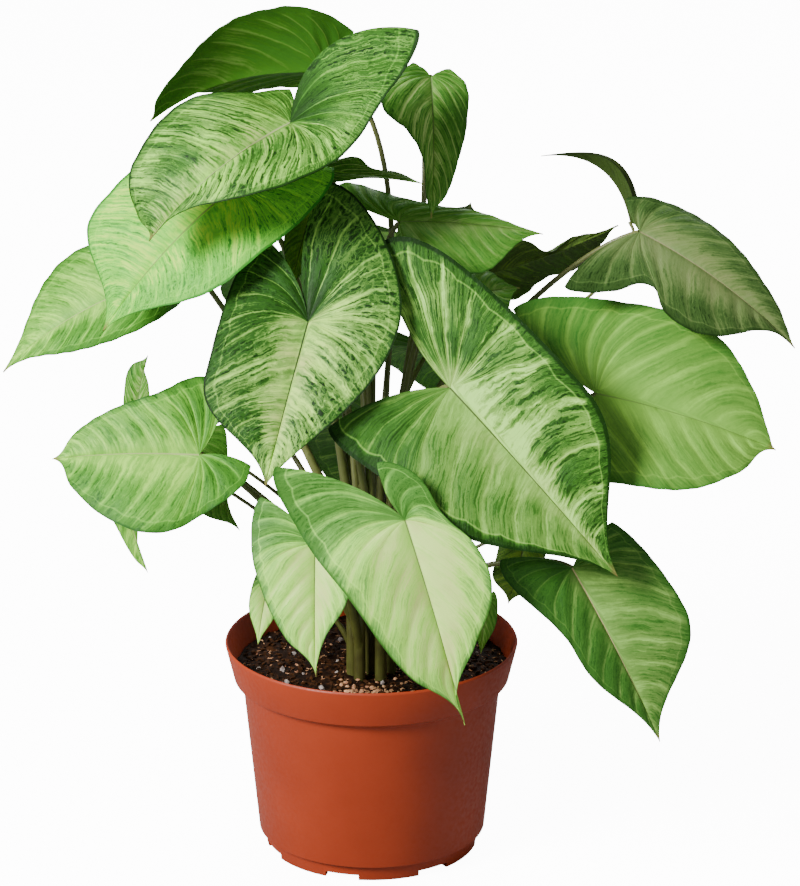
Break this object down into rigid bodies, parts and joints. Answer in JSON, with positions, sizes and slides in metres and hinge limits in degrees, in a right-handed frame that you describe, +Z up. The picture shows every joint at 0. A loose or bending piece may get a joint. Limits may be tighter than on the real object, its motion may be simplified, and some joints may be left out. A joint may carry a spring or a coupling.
{
  "type": "potted plant",
  "caption": "Leafy arrowhead vine with variegated blades on thin stalks, growing in soil in a round plastic nursery pot with a notched foot.",
  "frame": {"origin": "middle of the flat underside of the pot", "axes": "+Z up along the pot's axis, -Y towards the side that the picture shows, +X to the right there"},
  "size_m": [0.4086, 0.2621, 0.4509],
  "materials": {
    "pot_plastic": "terracotta coloured moulded plastic, satin",
    "potting_soil": "damp dark potting mix with bark chips and pale grit, matte",
    "stalk_skin": "olive to brown fleshy stalk, semi gloss",
    "green_leaf": "mid green leaf with paler veins, soft sheen",
    "cream_leaf": "cream leaf with dark green netting and margin, soft sheen",
    "lime_leaf": "pale lime leaf with green margin, soft sheen",
    "olive_leaf": "grey olive leaf, soft sheen",
    "dark_leaf": "dark green leaf or underside, matte"
  },
  "bodies": {
    "root": {"pot": "pot_plastic", "soil": "potting_soil", "shoot_a": "stalk_skin", "shoot_b": "stalk_skin", "shoot_c": "stalk_skin", "shoot_d": "stalk_skin", "shoot_e": "stalk_skin", "shoot_f": "stalk_skin", "shoot_g": "stalk_skin", "leaf_01": "green_leaf", "leaf_02": "cream_leaf", "leaf_03": "lime_leaf", "leaf_04": "lime_leaf", "leaf_05": "cream_leaf", "leaf_06": "cream_leaf", "leaf_07": "lime_leaf", "leaf_08": "olive_leaf", "leaf_09": "dark_leaf", "leaf_10": "dark_leaf", "leaf_11": "green_leaf", "leaf_12": "green_leaf", "leaf_13": "green_leaf", "leaf_14": "green_leaf", "leaf_15": "olive_leaf", "leaf_16": "lime_leaf", "leaf_17": "green_leaf", "leaf_18": "green_leaf", "leaf_19": "dark_leaf", "leaf_20": "lime_leaf", "leaf_21": "lime_leaf", "leaf_22": "green_leaf", "leaf_23": "dark_leaf", "leaf_24": "green_leaf", "leaf_25": "lime_leaf", "leaf_26": "dark_leaf", "leaf_27": "cream_leaf", "leaf_28": "lime_leaf", "leaf_29": "lime_leaf", "leaf_30": "lime_leaf", "leaf_31": "lime_leaf", "leaf_32": "cream_leaf"}
  },
  "joints": []
}
